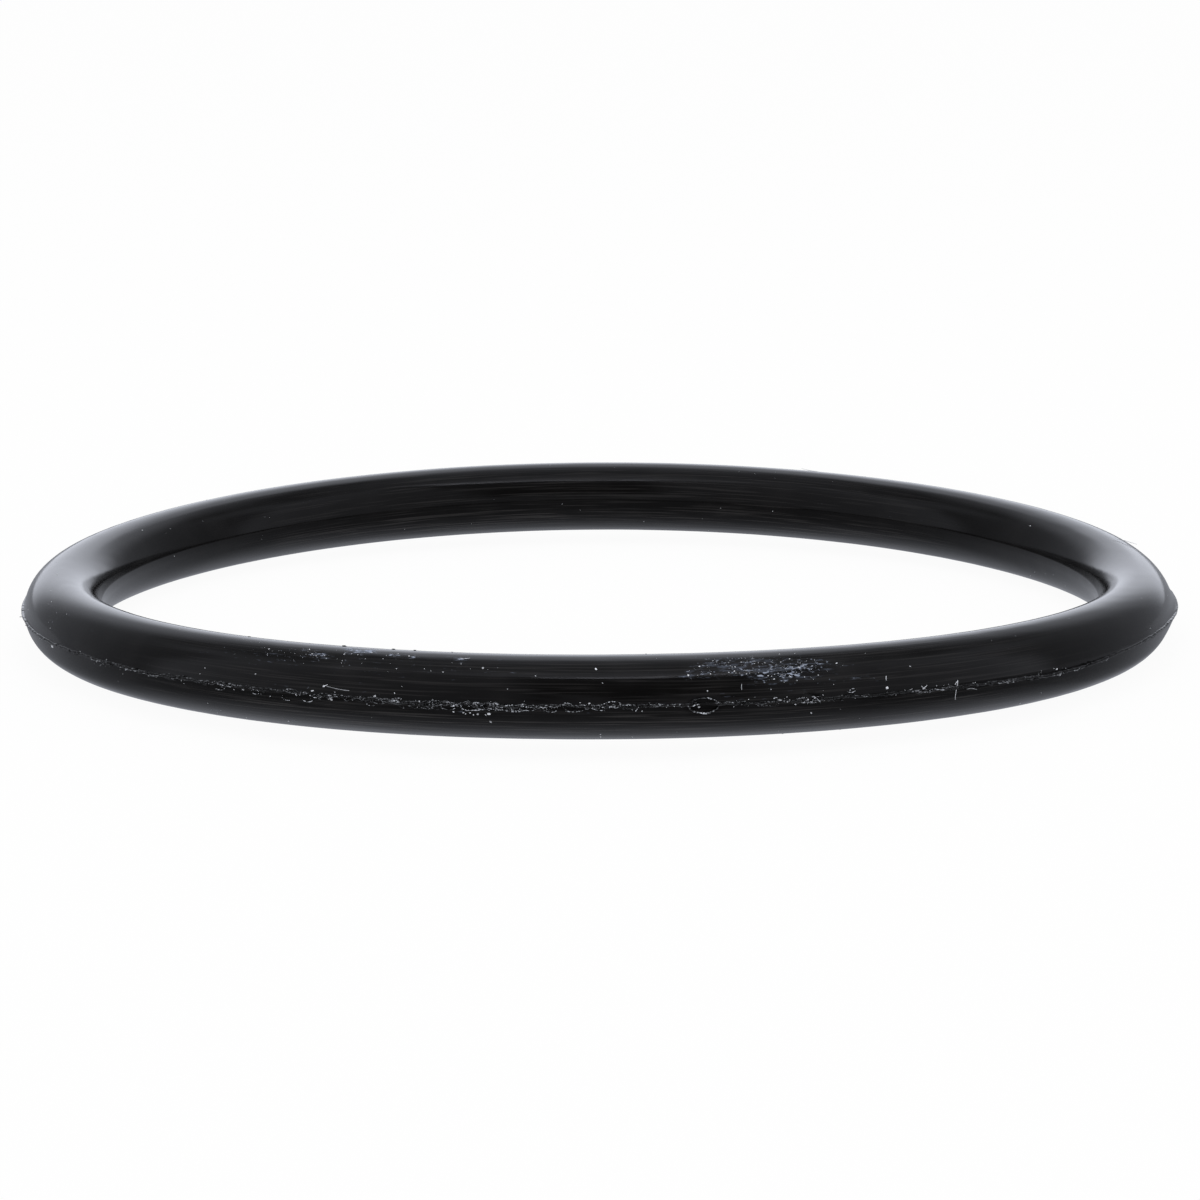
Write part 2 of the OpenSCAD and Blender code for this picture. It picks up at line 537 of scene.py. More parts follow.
def new_tubes(name, points):
    """Makes a mesh object from the points of many tubes."""
    return new_mesh_object(name, points.reshape(-1, 3), tube_faces(*points.shape[:3]))


def finish_torn(piece, context, pale):
    """Finishes a piece of torn rubber. pale says how pale each of its points is."""
    put_attribute(piece, "soil", 0.0, 0.3, pale)
    finish_rubber(piece, context)


def finish_dirt(piece, context, dark):
    """Finishes a piece that lies on the ring. dark is 1 where it is as black as rubber."""
    put_attribute(piece, "soil", dark, 0.0, 0.0)
    finish_piece(piece, shared_material("pale dust", dust_material, context.scene.oring_finish), False)


# Where dust lies thickest on the rubber: azimuth and lift of the middle, spread along the ring
# and round the section, all in degrees, and how thick it lies there
DUST_FIELDS = (
    (-76.4, 50.0, 2.6, 15.0, 0.84),
    (-82.0, 41.0, 1.3, 6.0, 0.95),
    (-79.8, 54.0, 1.3, 9.0, 0.70),
    (-73.5, 37.0, 2.6, 11.0, 0.55),
    (-70.0, 50.0, 2.6, 9.0, 0.90),
    (-77.0, 66.0, 5.0, 8.0, 0.50),
    (-84.4, 76.0, 0.5, 3.0, 1.2),
    (-71.5, 29.0, 4.0, 11.0, 0.5),
    (-65.0, 25.0, 2.0, 6.0, 0.45),
    (-113.2, 76.0, 0.9, 5.0, 1.9),
    (-114.4, 84.0, 0.7, 4.0, 1.6),
    (-111.9, 84.0, 0.6, 4.0, 1.5),
    (-109.6, 73.0, 0.6, 3.5, 1.4),
    (-107.5, 70.0, 0.4, 3.5, 1.5),
    (-102.9, 71.0, 0.5, 3.5, 1.4),
    (-118.5, 68.0, 1.0, 7.0, 0.6),
    (-105.0, 55.0, 9.0, 16.0, 0.50),
    (-121.0, 52.0, 7.0, 16.0, 0.55),
    (-124.5, 78.0, 0.8, 4.0, 0.8),
    (-116.6, 60.0, 0.6, 4.0, 1.0),
    (-129.0, -48.0, 1.5, 5.0, 0.9),
    (-119.5, -50.0, 1.5, 5.0, 0.8),
    (-107.0, -62.0, 1.2, 4.0, 0.8),
    (-101.8, -11.0, 3.0, 6.0, 0.6),
    (-113.0, 8.0, 9.0, 6.0, 0.55),
    (-80.0, 6.0, 8.0, 6.0, 0.45),
    (35.0, 50.0, 14.0, 20.0, 0.5),
    (120.0, 60.0, 16.0, 22.0, 0.6),
    (200.0, 40.0, 10.0, 20.0, 0.5),
)


# How far the flat side runs each way, in radians
FLAT_SPAN = 0.30
# The notch over the parting line: azimuth and half its width in radians, level, half its height and depth
NOTCH_AZIMUTH = -1.239
NOTCH_SPAN = 0.008
NOTCH_LEVEL = 0.09 * MM
NOTCH_HALF = 0.05 * MM
NOTCH_DEPTH = 0.05 * MM
# Height of the faint waves in the skin
WAVE_HEIGHT = 0.001 * MM
# Starts of the random draws for the ridge, the waves and the level of the parting line
RIDGE_SEED = 3
WAVE_SEED = 4
LEVEL_SEED = 8


def dust_thickness(azimuth, lift):
    """How thick the dust lies: a thin trace everywhere plus a bell-shaped hill for each field."""
    total = 0.05 + 0.0 * azimuth
    for middle, height, along, across, strength in DUST_FIELDS:
        a = wrapped(azimuth - math.radians(middle)) / math.radians(along)
        b = wrapped(lift - math.radians(height)) / math.radians(across)
        total = total + strength * np.exp(-0.5 * (a * a + b * b))
    return np.minimum(total, 1.8)


def pulled_in(ring, azimuth):
    """How far the outer wall lies in: a bell round the end with the fin."""
    return ring.flat_side * np.exp(-((wrapped(azimuth) / FLAT_SPAN) ** 2))


def fin_share(ring, azimuth):
    """How much of the fin's reach stands at an azimuth: a bell."""
    return np.exp(-((wrapped(azimuth - ring.fin_azimuth) / ring.fin_span) ** 2))


def body_relief(ring, azimuth, lift):
    """How far the ring's skin stands out of a true round section.

    A flared ridge follows the outer parting line and a lower one the inner, each a bell of the height
    above it. The fin, a bell of the azimuth, falls off hollow above the line and straight below it. Faint
    waves run along the skin, the burst blister leaves a flat-bottomed dent, a small notch lies over the line,
    and the end with the fin is a little flat.
    """
    height = ring.section_r * np.sin(lift)
    outside = np.cos(lift) > 0.0
    turn = azimuth / (2.0 * math.pi)
    uneven = 0.75 + 0.25 * wobble(np.random.default_rng(RIDGE_SEED), turn, 90)
    flare = np.exp(-np.abs(height / ring.ridge_height) ** 1.5)
    above = height - 0.3 * ring.ridge_height
    hollow = np.exp(-np.abs(above) / (0.9 * ring.ridge_height))
    slope = np.maximum(0.0, 1.0 - np.abs(above) / (3.4 * ring.ridge_height))
    blade = np.where(above > 0.0, hollow, slope)
    outer = ring.ridge_reach * uneven * flare + ring.fin_reach * fin_share(ring, azimuth) * blade
    inner = ring.inner_reach * np.exp(-((height / (0.7 * ring.ridge_height)) ** 2))
    rng = np.random.default_rng(WAVE_SEED)
    waves = WAVE_HEIGHT * (wobble(rng, turn, 46) + wobble(rng, turn + 0.1 * np.sin(lift), 171))
    dent = ring.dent * np.exp(-(blister_distance(ring, azimuth, lift) ** 4))
    pulled = pulled_in(ring, azimuth) * np.maximum(0.0, np.cos(lift)) ** 0.5
    beside = wrapped(azimuth - NOTCH_AZIMUTH) / NOTCH_SPAN
    over = (height - NOTCH_LEVEL) / NOTCH_HALF
    notch = NOTCH_DEPTH * np.exp(-(beside**4) - over**4)
    return np.where(outside, outer - notch - pulled, inner) + waves - dent


def blister_distance(ring, azimuth, lift):
    """How far a place is from the blister's middle: 1 on its oval rim."""
    along = wrapped(azimuth - ring.blister_azimuth) * crest_radius(ring) / (ring.blister_width / 2.0)
    up = (ring.section_r * np.sin(lift) - ring.blister_level) / (ring.blister_height / 2.0)
    far = np.where(np.cos(lift) > 0.0, 0.0, 9.0)
    return np.sqrt(along**2 + up**2) + far


# Where the flash is torn most: azimuth of the middle and spread along the ring, in degrees, and how much
TORN_STRETCHES = (
    (-104.5, 7.5, 0.95),
    (-94.0, 4.0, 0.6),
    (-121.0, 7.0, 0.45),
    (-85.5, 3.0, 0.35),
    (-76.5, 3.5, 0.5),
    (-71.0, 1.5, 0.5),
    (-66.0, 1.5, 0.3),
    (-59.0, 3.0, 0.4),
    (-48.0, 6.0, 0.3),
    (-137.0, 10.0, 0.3),
    (30.0, 12.0, 0.6),
    (78.0, 16.0, 0.5),
    (130.0, 14.0, 0.7),
)


# Where the flash is whole, at the blister, and how far each way
WHOLE_AZIMUTH = math.radians(-81.0)
WHOLE_SPAN = math.radians(1.5)
# Usual height of the parting line, and where, how widely and how much it sags
LOW_LEVEL = 0.02 * MM
SAG_AZIMUTH = math.radians(-43.0)
SAG_SPAN = math.radians(11.0)
SAG_DEPTH = 0.11 * MM


def frayed_share(azimuth):
    """How much the flash is torn, from 0 to 1.

    A trace away from the ends, plus a bell for each stretch, and nothing where the blister burst.
    """
    total = 0.06 * np.sin(azimuth) ** 2
    for middle, along, strength in TORN_STRETCHES:
        far = wrapped(azimuth - math.radians(middle)) / math.radians(along)
        total = total + strength * np.exp(-0.5 * far**2)
    whole = np.exp(-((wrapped(azimuth - WHOLE_AZIMUTH) / WHOLE_SPAN) ** 4))
    return np.minimum(total, 1.0) * (1.0 - whole)


def edge_paleness(azimuth):
    """How pale the torn rubber is: most at the front and the back, by a high power of the azimuth's sine."""
    return 0.4 + 0.6 * np.sin(azimuth) ** 6


def lip_level(azimuth):
    """Height of the parting line over the middle of the section: a random wave about a low level.

    Beside the fin the line sags a little, by a bell of the azimuth.
    """
    turn = azimuth / (2.0 * math.pi)
    rng = np.random.default_rng(LEVEL_SEED)
    sag = SAG_DEPTH * np.exp(-((wrapped(azimuth - SAG_AZIMUTH) / SAG_SPAN) ** 2))
    return LOW_LEVEL - sag + 0.030 * MM * wobble(rng, turn, 30) + 0.015 * MM * wobble(rng, turn, 170)


# Mesh steps along and round a scrap, a thread, a strand that is laid on the skin and the blister's rim
SCRAP_STEPS, SCRAP_SIDES = 11, 10
THREAD_STEPS, THREAD_SIDES = 14, 6
STRAND_STEPS, STRAND_SIDES = 17, 6
RIM_STEPS, RIM_SIDES = 96, 8


def flash_point(ring, azimuth, out, height):
    """Point that stands out of the crest and over the parting line by so much."""
    radius = crest_radius(ring) + out - pulled_in(ring, azimuth)
    return ring_point(azimuth, radius, centre_height(ring, azimuth) + lip_level(azimuth) + height)


def torn_places(rng, many):
    """Azimuths drawn where frayed_share lets the flash be torn."""
    tries = 20 * many
    azimuth = rng.uniform(-math.pi, math.pi, tries)
    return azimuth[rng.uniform(0.0, 1.0, tries) < frayed_share(azimuth)][:many]


# How much closer than evenly the steps round the section lie at the outer parting line
CLOSER_AT_LINE = 0.62


class ORING_OT_body(bpy.types.Operator):
    """Add the ring itself: the round section swept along its saddle-shaped centreline"""

    bl_idname = "oring.body"
    bl_label = "Ring Body"

    def execute(self, context):
        """Samples section_point on a closed grid that is finest at the outer parting line."""
        ring = context.scene.oring_ring
        share = np.arange(ring.across) / ring.across
        lifts = 2.0 * math.pi * share - CLOSER_AT_LINE * np.sin(2.0 * math.pi * share)
        azimuths = 2.0 * math.pi * np.arange(ring.around) / ring.around
        azimuth, lift = np.meshgrid(azimuths, lifts, indexing="ij")
        points = section_point(ring, azimuth, lift, body_relief(ring, azimuth, lift))
        piece = new_mesh_object("ring_body", points.reshape(-1, 3), grid_faces(ring.around, ring.across))
        put_attribute(piece, "round_section", np.cos(lift), np.sin(lift), 0.0)
        put_attribute(piece, "along_ring", np.cos(azimuth), np.sin(azimuth), 0.0)
        thick = dust_thickness(azimuth, lift)
        put_attribute(piece, "soil", thick, np.minimum(0.2 + 0.6 * thick, 1.0), 0.0)
        finish_rubber(piece, context)
        return {"FINISHED"}


# Profile of the torn lip from its lower root to its upper one: how deep it is sunk, in section radii, share
# of the lip's reach, side (-1 is the underside and 1 the top) and how pale the torn rubber is. The paleness
# is the torn rubber's whitening and also, palest on the top edge, a painted highlight where the edge catches
# the light
LIP_PROFILE = (
    (0.35, 0.0, -1.0, 0.0),
    (0.0, 0.0, -1.0, 0.02),
    (0.0, 0.86, -0.75, 0.07),
    (0.0, 1.0, 0.05, 0.08),
    (0.0, 0.9, 0.8, 1.0),
    (0.0, 0.0, 1.0, 0.10),
    (0.35, 0.0, 1.0, 0.0),
)


class ORING_OT_lip(bpy.types.Operator):
    """Add the torn lip of flash along the outer parting line"""

    bl_idname = "oring.lip"
    bl_label = "Torn Lip"

    def execute(self, context):
        """Carries a blunt profile round the ring, with its reach, height and level torn at random.

        The reach runs from a low stump to the lip's full reach, by the sum of a coarse and a fine noise.
        """
        ring = context.scene.oring_ring
        flash = context.scene.oring_flash
        rng = np.random.default_rng(flash.seed)
        turn = np.arange(flash.lip_steps) / flash.lip_steps
        azimuth = 2.0 * math.pi * turn
        coarse = 0.5 + 0.5 * wobble(rng, turn, 70)
        fine = 0.5 * wobble(rng, turn, 520) + 0.35 * wobble(rng, turn, 1000) + 0.15 * wobble(rng, turn, 1600)
        torn = np.clip(coarse * 0.8 + fine * 0.9, 0.0, 1.0)
        share = frayed_share(azimuth)
        ragged = 0.5 + (torn - 0.5) * np.minimum(1.0, 0.05 + 1.3 * share)
        reach = ring.ridge_reach * 0.9 + (flash.lip_reach - ring.ridge_reach) * ragged
        reach = reach + ring.fin_reach * 0.6 * fin_share(ring, azimuth) - pulled_in(ring, azimuth)
        level = lip_level(azimuth) + (0.005 + 0.022 * share) * MM * wobble(rng, turn, 900)
        half = flash.lip_height * (0.34 + 0.16 * share * wobble(rng, turn, 1100)) * (0.40 + 0.60 * ragged)
        middle = centre_height(ring, azimuth) + level
        rows = []
        for sunk, out, side, _ in LIP_PROFILE:
            radius = crest_radius(ring) + (out * reach - sunk * ring.section_r)
            rows.append(ring_point(azimuth, radius, middle + side * half))
        points = np.stack(rows, axis=1)
        faces = grid_faces(flash.lip_steps, len(LIP_PROFILE))
        piece = new_mesh_object("torn_lip", points.reshape(-1, 3), faces)
        # Pale dashes along the lip, palest on its top edge: the torn rubber's whitening together with a
        # painted highlight of the edge catching the light from above.
        whitened_and_highlit_dashes = np.clip(1.6 * wobble(rng, turn, 1100) + 0.7 * wobble(rng, turn, 300), 0.0, 1.0)
        edge = np.array(LIP_PROFILE)[:, 3]
        pale = (share * edge_paleness(azimuth) * (0.15 + 0.85 * whitened_and_highlit_dashes))[:, None] * edge[None]
        finish_torn(piece, context, pale)
        return {"FINISHED"}


class ORING_OT_scraps(bpy.types.Operator):
    """Add the curled scraps of flash that hang on the parting line"""

    bl_idname = "oring.scraps"
    bl_label = "Curled Scraps"

    def execute(self, context):
        """Each scrap is a flattened tube along the ring that curls up or down on its way outwards.

        Along the scrap its width swells and fades as a sine; round it runs an ellipse of a thin sheet.
        """
        ring = context.scene.oring_ring
        flash = context.scene.oring_flash
        rng = np.random.default_rng(flash.seed + 1)
        many = flash.scraps
        along = np.linspace(0.0, 1.0, SCRAP_STEPS)
        loop = 2.0 * math.pi * np.arange(SCRAP_SIDES) / SCRAP_SIDES
        start = torn_places(rng, many)
        span = flash.scrap_length * rng.uniform(0.15, 1.0, many) ** 1.6 / crest_radius(ring)
        reach = flash.scrap_reach * rng.uniform(0.35, 1.0, many)
        lean = rng.uniform(-1.0, 1.0, many)
        twist = rng.uniform(-1.0, 1.0, many)
        thick = 0.008 * MM * rng.uniform(0.6, 1.6, many)
        i, s, w = np.meshgrid(np.arange(many), along, loop, indexing="ij")
        swell = np.sin(np.pi * np.clip(s, 0.02, 0.98)) ** 0.5
        sheet = 0.5 + 0.5 * np.cos(w)
        azimuth = start[i] + span[i] * (s + 0.12 * twist[i] * sheet)
        out = -0.03 * MM + reach[i] * swell * sheet
        curl = lean[i] + 0.7 * twist[i] * (s - 0.5)
        height = 0.8 * reach[i] * swell * sheet**1.6 * curl + thick[i] * np.sin(w) * (1.2 - sheet)
        points = flash_point(ring, azimuth, out, height)
        piece = new_tubes("curled_scraps", points)
        rim = np.clip(4.0 * sheet - 3.0, 0.0, 1.0) * (1.3 * rng.uniform(0.0, 1.0, many) ** 2)[i]
        pale = np.clip(rim + 0.09 * rng.uniform(0.0, 1.0, many)[i], 0.0, 1.0) * edge_paleness(azimuth)
        finish_torn(piece, context, pale)
        return {"FINISHED"}


class ORING_OT_threads(bpy.types.Operator):
    """Add the thin torn threads of flash that loop along the parting line"""

    bl_idname = "oring.threads"
    bl_label = "Torn Threads"

    def execute(self, context):
        """Each thread is a fine tube that leaves the lip, rises in a bow and comes back to it.

        Along the thread the azimuth runs on with one swing to and fro, and the height is a half sine with a
        smaller full sine on top of it.
        """
        ring = context.scene.oring_ring
        flash = context.scene.oring_flash
        rng = np.random.default_rng(flash.seed + 2)
        many = flash.threads
        s = np.linspace(0.0, 1.0, THREAD_STEPS)[None]
        start = torn_places(rng, many)[:, None]
        share = rng.uniform(0.1, 1.0, (many, 1))
        span = flash.thread_length * share / crest_radius(ring)
        swing = rng.uniform(-0.8, 0.8, (many, 1))
        bow = flash.thread_bow * share**0.5 * rng.uniform(-1.0, 0.3, (many, 1)) * frayed_share(start)
        wave = 0.25 * flash.thread_bow * share * rng.uniform(-1.0, 1.0, (many, 1))
        out = flash.lip_reach * rng.uniform(0.5, 1.2, (many, 1)) * np.sin(np.pi * s) ** 0.4
        azimuth = start + span * (s + swing * np.sin(2.0 * np.pi * s) / 2.0)
        height = bow * np.sin(np.pi * s) + wave * np.sin(2.0 * np.pi * s)
        paths = flash_point(ring, azimuth, out, height)
        thick = flash.thread_width / 2.0 * rng.uniform(0.5, 1.3, (many, 1)) * (0.5 + 0.5 * np.sin(np.pi * s))
        points = tube_points(paths, outward(azimuth, 0.0 * azimuth), thick, THREAD_SIDES)
        piece = new_tubes("torn_threads", points)
        bright = np.clip(0.55 + 1.1 * wobble(rng, start[:, 0] / (2.0 * math.pi), 240), 0.05, 1.0)
        bright = np.clip(1.5 * bright * rng.uniform(0.0, 1.0, many) ** 2.2, 0.03, 1.0)
        pale = (bright * edge_paleness(start[:, 0]))[:, None, None] * np.ones((1, THREAD_STEPS, THREAD_SIDES))
        finish_torn(piece, context, pale)
        return {"FINISHED"}


def grain_shape():
    """Corners and faces of an icosahedron, the blank of a speck of dust."""
    gold = (1.0 + math.sqrt(5.0)) / 2.0
    corners = []
    for a in (-1.0, 1.0):
        for b in (-gold, gold):
            corners += [(0.0, a, b), (a, b, 0.0), (b, 0.0, a)]
    corners = np.array(corners) / math.hypot(1.0, gold)
    gap = 2.0 / math.hypot(1.0, gold)
    near = np.abs(np.linalg.norm(corners[:, None] - corners[None], axis=-1) - gap) < 0.01
    faces = []
    for a in range(12):
        for b in range(a + 1, 12):
            for c in range(b + 1, 12):
                if near[a, b] and near[b, c] and near[a, c]:
                    normal = np.cross(corners[b] - corners[a], corners[c] - corners[a])
                    faces.append((a, b, c) if np.dot(normal, corners[a]) > 0.0 else (a, c, b))
    return corners, np.array(faces)


def thrown(rng, many):
    """Azimuths and lifts of specks: a few all over the ring, and more by a high power of dust_thickness."""
    tries = 300 * many
    azimuth = rng.uniform(-math.pi, math.pi, tries)
    lift = rng.uniform(-math.pi, math.pi, tries)
    chance = 0.004 + 0.5 * np.minimum(dust_thickness(azimuth, lift), 1.0) ** 4
    kept = rng.uniform(0.0, 1.0, tries) < chance
    return azimuth[kept][:many], lift[kept][:many]


# Specks that stand alone or catch the eye: azimuth and lift in degrees, and size against a middling speck
LONE_SPECKS = (
    (-90.4, 53.0, 1.6),
    (-89.8, 31.0, 1.2),
    (-80.5, 17.5, 1.0),
    (-81.3, -4.0, 2.0),
    (-70.9, -20.5, 1.4),
    (-70.7, 1.5, 1.6),
    (-63.5, 7.0, 2.2),
    (-63.6, 0.0, 1.4),
    (-68.0, 48.0, 1.8),
    (-59.7, 1.5, 2.0),
    (-42.5, -9.5, 2.4),
    (-66.8, -75.5, 1.4),
    (-103.1, -11.5, 1.9),
    (-102.2, -12.0, 1.7),
    (-102.0, -14.0, 1.3),
    (-101.6, -12.0, 1.2),
    (-101.3, -15.0, 1.2),
    (-100.9, -13.5, 1.7),
    (-100.2, -14.5, 1.2),
    (-99.9, -13.0, 2.2),
    (-99.8, -25.5, 1.4),
    (-95.8, 41.0, 1.0),
    (-100.7, 52.5, 1.4),
    (-104.3, 43.5, 1.0),
    (-122.7, 63.0, 1.6),
    (-117.8, 61.5, 1.3),
    (-122.9, 21.0, 1.0),
    (-115.5, 13.5, 1.8),
    (-116.6, 6.0, 1.8),
    (-106.2, 1.0, 1.4),
    (-90.0, -49.0, 1.2),
    (-90.0, -57.0, 1.2),
    (-87.1, -58.0, 1.0),
    (-74.0, 1.0, 1.9),
    (-73.3, -1.0, 1.2),
    (-72.5, -5.5, 1.4),
    (-76.9, -3.5, 1.0),
    (-110.4, 4.5, 2.0),
)
# Crumbs of the black rubber that stand on the top, in the same terms
DARK_CRUMBS = (
    (-127.0, 98.0, 2.2),
    (-115.7, 98.0, 2.6),
    (-110.4, 99.0, 2.6),
    (-108.2, 99.0, 2.2),
    (-104.4, 98.0, 1.8),
    (-85.6, 99.0, 1.4),
    (-72.5, -82.0, 1.8),
)


class ORING_OT_dust(bpy.types.Operator):
    """Add the specks of dust that lie on the rubber"""

    bl_idname = "oring.dust"
    bl_label = "Dust"

    def execute(self, context):
        """Each speck is an icosahedron, squashed and turned at random, with its middle on the skin."""
        ring = context.scene.oring_ring
        dirt = context.scene.oring_dirt
        rng = np.random.default_rng(dirt.seed)
        azimuth, lift = thrown(rng, dirt.loose_specks)
        lone = np.array(DARK_CRUMBS + LONE_SPECKS)
        crumbs = torn_places(rng, dirt.crumbs)
        dark = np.concatenate([np.arange(len(lone)) < len(DARK_CRUMBS), np.zeros(len(crumbs) + len(azimuth))])
        azimuth = np.concatenate([np.radians(lone[:, 0]), crumbs, azimuth])
        lift = np.concatenate([np.radians(lone[:, 1]), rng.normal(-0.01, 0.05, len(crumbs)), lift])
        many = len(azimuth)
        corners, faces = grain_shape()
        per_speck = len(corners)
        size = dirt.speck_size * np.exp(rng.normal(-0.45, 0.42, many))
        size[: len(lone)] = 1.15 * dirt.speck_size * lone[:, 2]
        size[len(lone) : len(lone) + len(crumbs)] *= rng.uniform(0.5, 1.6, len(crumbs))
        stretch = size[:, None] * rng.uniform(0.5, 1.0, (many, 3)) * np.array([1.5, 0.9, 0.5]) / 2.0
        up = outward(azimuth, lift)
        side = np.stack([-np.sin(azimuth), np.cos(azimuth), 0.0 * azimuth], -1)
        across = np.cross(up, side)
        spin = rng.normal(0.0, 0.5, many)
        first = side * np.cos(spin)[:, None] + across * np.sin(spin)[:, None]
        second = np.cross(up, first)
        middle = section_point(ring, azimuth, lift, body_relief(ring, azimuth, lift))
        rough = corners[None] * (1.0 + rng.uniform(-0.25, 0.25, (many, per_speck, 1)))
        shaped = rough * stretch[:, None]
        points = middle[:, None] + shaped[..., :1] * first[:, None] + shaped[..., 1:2] * second[:, None]
        points = points + shaped[..., 2:] * up[:, None]
        every = (faces[None] + (per_speck * np.arange(many))[:, None, None]).reshape(-1, 3)
        piece = new_mesh_object("dust_specks", points.reshape(-1, 3), every)
        finish_dirt(piece, context, np.repeat(dark, per_speck))
        return {"FINISHED"}


# Fibres that catch the eye: azimuth and lift of the middle and heading against the ring's run, in degrees,
# length in millimetres, how much each bends, and how dark it is
LONE_FIBRES = (
    (-56.0, -7.0, 88.0, 0.42, 0.15, 0.0),
    (-56.1, 4.0, 40.0, 0.12, 0.0, 0.0),
    (-56.0, 1.0, 78.0, 0.20, -0.12, 0.0),
    (-59.7, 1.5, 35.0, 0.20, 0.1, 0.15),
    (-59.7, 1.5, -40.0, 0.18, -0.1, 0.15),
    (-63.5, 20.0, 80.0, 0.10, 0.2, 0.0),
    (-54.3, -8.0, -8.0, 0.30, 0.2, 0.45),
    (-61.5, 1.5, 10.0, 0.26, -0.2, 0.35),
    (-114.0, 12.0, -6.0, 0.56, -0.10, 0.55),
    (-115.3, 14.0, 30.0, 0.12, 0.3, 0.0),
    (-77.4, 21.0, 85.0, 0.12, 0.1, 0.0),
    (-132.2, 2.0, 5.0, 0.40, 0.1, 0.5),
    (-102.6, 70.0, 5.0, 0.22, -0.2, 0.3),
    (64.0, 62.0, 20.0, 0.9, 0.5, 0.0),
    (141.0, 48.0, -30.0, 0.7, -0.4, 0.0),
    (10.0, 75.0, 60.0, 0.6, 0.5, 0.0),
)
# The torn curls that catch the eye, in the same terms but for the last
LONE_CURLS = (
    (-97.6, -4.5, 0.0, 0.52, -0.42),
    (-97.4, -2.0, 4.0, 0.40, 0.30),
    (-99.6, -5.0, -6.0, 0.34, -0.45),
    (-101.5, -5.0, 8.0, 0.40, -0.40),
    (-103.5, -5.0, 0.0, 0.30, -0.60),
    (-92.3, -5.5, 2.0, 0.36, -0.30),
    (-94.4, -5.0, -4.0, 0.26, -0.70),
    (-90.2, -3.5, -10.0, 0.30, -0.25),
    (-87.3, -3.5, -52.0, 0.10, 0.20),
    (-86.8, -3.5, 56.0, 0.12, -0.20),
    (-89.0, 4.0, 3.0, 0.34, 0.35),
    (-84.8, 1.0, -55.0, 0.08, 0.0),
    (-83.6, 0.0, -48.0, 0.10, 0.1),
    (-74.4, 3.0, 10.0, 0.14, 0.9),
    (-73.6, 1.5, 80.0, 0.07, 0.5),
    (-70.9, -1.0, 62.0, 0.17, 0.2),
    (-70.4, -1.0, -48.0, 0.16, -0.2),
    (-70.6, -3.0, 8.0, 0.22, -0.3),
    (-67.2, 7.0, 0.0, 0.18, -0.6),
    (-67.0, 8.5, 6.0, 0.16, 0.6),
    (-122.6, -3.5, 0.0, 0.22, -0.6),
    (-122.6, -1.5, 0.0, 0.22, 0.6),
    (-126.6, -3.0, 10.0, 0.30, -0.6),
    (-117.0, -6.5, 4.0, 0.26, -0.6),
    (-116.2, -4.0, 0.0, 0.24, 0.5),
    (-119.4, -6.5, -20.0, 0.24, -0.7),
    (-110.8, -5.5, -12.0, 0.20, -0.7),
    (-108.3, 2.5, 12.0, 0.20, 0.6),
    (-139.0, 0.0, 16.0, 0.30, 0.4),
    (-136.6, 1.0, 8.0, 0.26, -0.4),
)


def laid_strands(ring, table, width, off):
    """Points of fine tubes laid on the skin, one for each row of the table, with both tips a little off it.

    Along a strand, azimuth and lift run with the heading, and an arch of the bend is added square to it.
    """
    strand = np.array(table)
    s = np.linspace(-0.5, 0.5, STRAND_STEPS)[None]
    middle, height, heading = (np.radians(strand[:, k : k + 1]) for k in range(3))
    reach = strand[:, 3:4] * MM
    arch = strand[:, 4:5] * (0.25 - s**2)
    run = reach * (s * np.cos(heading) - arch * np.sin(heading))
    rise = reach * (s * np.sin(heading) + arch * np.cos(heading))
    azimuth = middle + run / (ring.pitch_r + ring.section_r * np.cos(height))
    lift = height + rise / ring.section_r
    lifted = off + 0.5 * width + 0.05 * reach * np.abs(2.0 * s) ** 3
    paths = section_point(ring, azimuth, lift, np.maximum(body_relief(ring, azimuth, lift), 0.0) + lifted)
    thick = width / 2.0 * (1.0 - 0.5 * np.abs(2.0 * s) ** 4) + 0.0 * run
    return tube_points(paths, outward(azimuth, lift), thick, STRAND_SIDES)


class ORING_OT_fibres(bpy.types.Operator):
    """Add the fibres that cling to the rubber"""

    bl_idname = "oring.fibres"
    bl_label = "Fibres"

    def execute(self, context):
        """Lays a fine tube on the skin for each lone fibre."""
        width = context.scene.oring_dirt.fibre_width
        points = laid_strands(context.scene.oring_ring, LONE_FIBRES, width, 0.006 * MM)
        dark = np.array(LONE_FIBRES)[:, 5]
        finish_dirt(new_tubes("fibres", points), context, np.repeat(dark, STRAND_STEPS * STRAND_SIDES))
        return {"FINISHED"}


class ORING_OT_curls(bpy.types.Operator):
    """Add the torn curls of flash that catch the eye"""

    bl_idname = "oring.curls"
    bl_label = "Torn Curls"

    def execute(self, context):
        """Lays a tube on the parting line for each lone curl, and draws how pale each is."""
        flash = context.scene.oring_flash
        rng = np.random.default_rng(flash.seed + 4)
        points = laid_strands(context.scene.oring_ring, LONE_CURLS, flash.thread_width, 0.02 * MM)
        piece = new_tubes("torn_curls", points)
        pale = rng.uniform(0.5, 1.0, len(points))[:, None, None] * np.ones((1, STRAND_STEPS, STRAND_SIDES))
        finish_torn(piece, context, pale)
        return {"FINISHED"}


# The row of the blister's rim that is sunk as a root in the rubber, and how deep
ROOT_ROW = 6
ROOT_DEPTH = 0.05 * MM


def looped(line):
    """A line round a loop, with its last place also put before it and its first after it."""
    return np.concatenate([line[:, -1:], line, line[:, :1]], axis=1)


